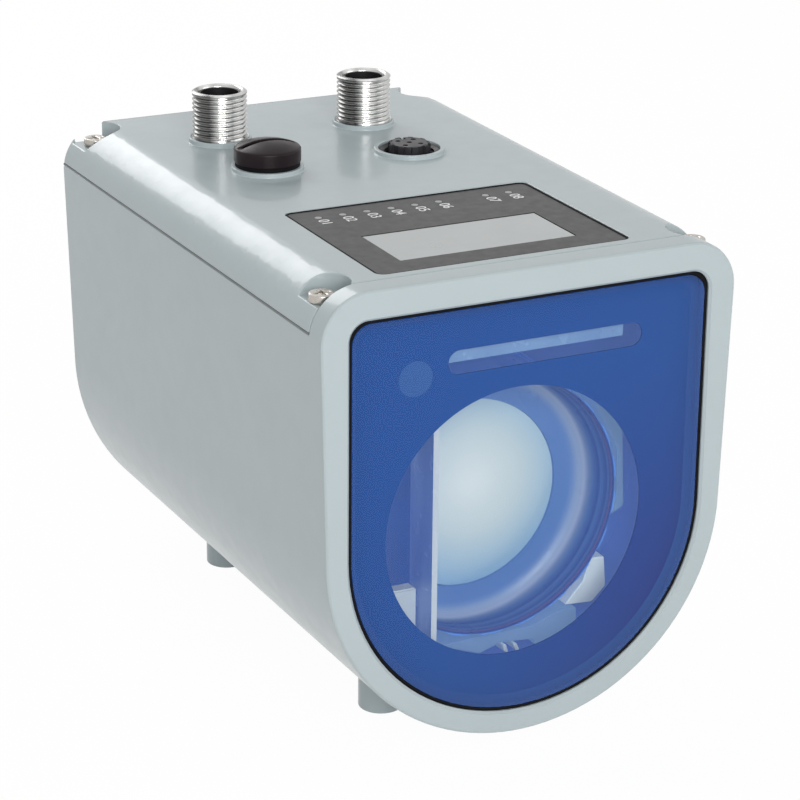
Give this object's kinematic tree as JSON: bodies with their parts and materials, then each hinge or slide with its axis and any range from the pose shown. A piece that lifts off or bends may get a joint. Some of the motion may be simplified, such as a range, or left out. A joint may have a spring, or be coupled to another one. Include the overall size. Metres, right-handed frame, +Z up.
{
  "type": "laser distance sensor",
  "caption": "Industrial laser distance sensor: U-section cast housing with round aperture in a blue front window, top display, round connectors and a slotted screw cap.",
  "frame": {"origin": "middle of the housing's plan on the plane of the four feet", "axes": "+Z up, the front window faces -Y, +X to the right seen from the front"},
  "size_m": [0.0934, 0.133, 0.1124],
  "materials": {
    "housing_paint": "satin light blue-grey paint on an aluminium casting",
    "window_glass": "clear polished glass",
    "mask_print": "blue print behind the glass",
    "seal_rubber": "black moulded rubber",
    "lens_glass": "coated optical glass",
    "optics_metal": "anodised aluminium",
    "board": "solder resist",
    "screw_steel": "stainless steel",
    "panel_film": "printed dark grey film",
    "screen": "pale liquid crystal screen",
    "lamp_plastic": "clear light guide",
    "connector_nickel": "bright nickel plate",
    "insert_plastic": "black moulded plastic",
    "contact_gold": "gold plate",
    "cap_plastic": "black moulded plastic"
  },
  "bodies": {
    "housing": {"main_housing": "housing_paint", "top_cover": "housing_paint", "front_window": "window_glass", "window_seal": "seal_rubber", "window_mask": "mask_print", "lens_barrel": "optics_metal", "lens_retainer": "optics_metal", "receiver_lens": "lens_glass", "optics_chassis": "optics_metal", "glass_plate": "lens_glass", "plate_holder": "optics_metal", "laser_module": "optics_metal", "laser_lens": "lens_glass", "slot_light_guide": "lamp_plastic", "receiver_board": "board", "receiver_pillars": "optics_metal", "receiver_detector": "optics_metal", "cover_gasket": "seal_rubber", "cover_screws": "screw_steel", "display_panel": "panel_film", "display_screen": "screen", "indicator_lamps": "lamp_plastic", "display_board": "board", "display_pillars": "optics_metal", "main_board": "board", "main_pillars": "optics_metal", "connector_nuts": "connector_nickel", "left_plug_shell": "connector_nickel", "left_plug_insert": "insert_plastic", "left_plug_pins": "contact_gold", "left_socket_shell": "insert_plastic", "left_socket_insert": "insert_plastic", "right_plug_shell": "connector_nickel", "right_plug_insert": "insert_plastic", "right_plug_pins": "contact_gold", "right_socket_shell": "insert_plastic", "right_socket_insert": "insert_plastic"},
    "cap_seal": {"cap_washer": "seal_rubber"},
    "cap": {"sealing_cap": "cap_plastic"}
  },
  "joints": [
    {"name": "cap_rise", "type": "slide", "parent": "housing", "child": "cap_seal", "axis": [0, 0, 1], "range_m": [0, 0.005]},
    {"name": "cap_turn", "type": "hinge", "parent": "cap_seal", "child": "cap", "pos_m": [-0.0192, 0.0159, 0.102], "axis": [0, 0, 1], "range_deg": [0, 1820]}
  ],
  "couplings": [
    {"joint": "cap_turn", "follows": "cap_rise", "rad_per_m": 6283.2}
  ]
}
